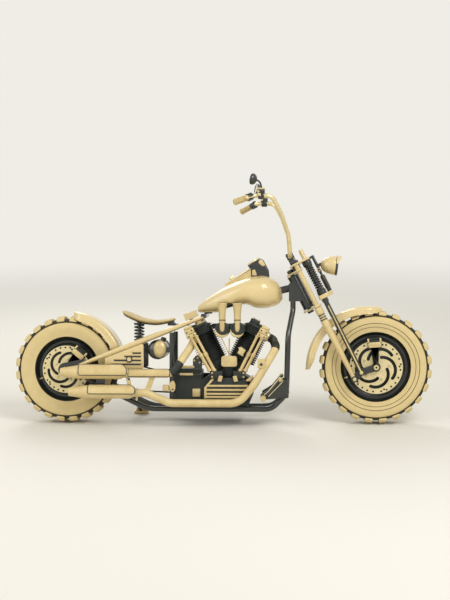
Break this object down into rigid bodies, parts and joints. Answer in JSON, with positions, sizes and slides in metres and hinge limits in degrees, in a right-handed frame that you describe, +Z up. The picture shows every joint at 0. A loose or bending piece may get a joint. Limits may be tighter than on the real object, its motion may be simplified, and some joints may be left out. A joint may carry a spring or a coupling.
{
  "type": "bobber motorcycle with springer fork, parked on its side stand",
  "caption": "Cream and black V-twin bobber motorcycle with springer fork, high handlebar, block-tread tyres and twin exhausts, leaning on its side stand.",
  "frame": {"origin": "on the floor, under the middle of the leaned machine's box", "axes": "+X forwards along the machine, +Y to the rider's left, +Z up; the machine leans 8 degrees towards +Y"},
  "size_m": [2.3692, 0.8054, 1.431],
  "materials": {
    "cream_enamel": "gloss cream enamel",
    "ivory_coating": "satin ivory heat coating on steel",
    "bright_steel": "warm satin plated steel",
    "fork_enamel": "gloss cream enamel on steel",
    "cream_metal": "satin cream coated castings",
    "black_frame": "satin black enamel",
    "black_engine": "black crackle coated castings",
    "black_wheel": "gloss black enamel",
    "zinc_steel": "zinc plated steel",
    "tyre_rubber": "cream coloured rubber",
    "grip_rubber": "moulded black rubber",
    "belt_rubber": "toothed drive belt rubber",
    "tan_leather": "pale tan leather, sewn",
    "clear_glass": "clear fluted lamp glass",
    "dial": "cream dial under a lens"
  },
  "bodies": {
    "chassis": {"drive_belt": "belt_rubber", "rear_axle": "zinc_steel", "rear_caliper": "bright_steel", "frame_neck": "black_frame", "frame_cradle": "black_frame", "frame_lower_stays": "black_frame", "frame_upper_stays": "cream_enamel", "crankcase": "black_engine", "gearbox": "black_engine", "primary_cover": "black_engine", "cam_cover": "cream_metal", "cylinders": "black_engine", "cylinder_heads": "black_engine", "rocker_boxes": "cream_metal", "pushrod_tubes": "cream_metal", "intake": "cream_metal", "ignition_box": "cream_metal", "front_exhaust": "ivory_coating", "rear_exhaust": "ivory_coating", "fuel_tank": "cream_enamel", "tank_console": "cream_enamel", "speedometer": "dial", "seat_box": "cream_enamel", "seat_pad": "tan_leather", "seat_pan": "black_frame", "rear_fender": "cream_enamel", "oil_tank": "cream_metal", "side_covers": "cream_enamel", "foot_controls": "black_frame"},
    "fork": {"fork_rear_legs": "fork_enamel", "fork_trees": "fork_enamel", "fork_front_legs": "fork_enamel", "fork_springs": "bright_steel", "fork_rockers": "fork_enamel", "front_axle": "zinc_steel", "front_fender": "cream_enamel", "front_caliper": "bright_steel", "headlight_bucket": "cream_enamel", "headlight_lens": "clear_glass", "handlebar": "bright_steel", "grips": "grip_rubber", "hand_controls": "bright_steel"},
    "front_wheel": {"front_tyre": "tyre_rubber", "front_rim": "black_wheel", "front_disc": "bright_steel"},
    "rear_wheel": {"rear_tyre": "tyre_rubber", "rear_rim": "black_wheel", "rear_disc": "bright_steel", "rear_pulley": "black_wheel"},
    "stand": {"side_stand": "black_frame"}
  },
  "joints": [
    {"name": "steering", "type": "hinge", "parent": "chassis", "child": "fork", "pos_m": [0.45066, -0.06908, 0.72739], "axis": [-0.454, 0.124, 0.8823], "range_deg": [-32, 32]},
    {"name": "front_wheel_spin", "type": "hinge", "parent": "fork", "child": "front_wheel", "pos_m": [0.86699, -0.12663, 0.31789], "axis": [0, 0.9903, -0.1392], "continuous": true},
    {"name": "rear_wheel_spin", "type": "hinge", "parent": "chassis", "child": "rear_wheel", "pos_m": [-0.88301, -0.12886, 0.30203], "axis": [0, 0.9903, -0.1392], "continuous": true},
    {"name": "side_stand", "type": "hinge", "parent": "chassis", "child": "stand", "pos_m": [-0.51501, 0.0047, 0.08836], "axis": [0, 0.8153, 0.579], "range_deg": [0, 100]}
  ]
}
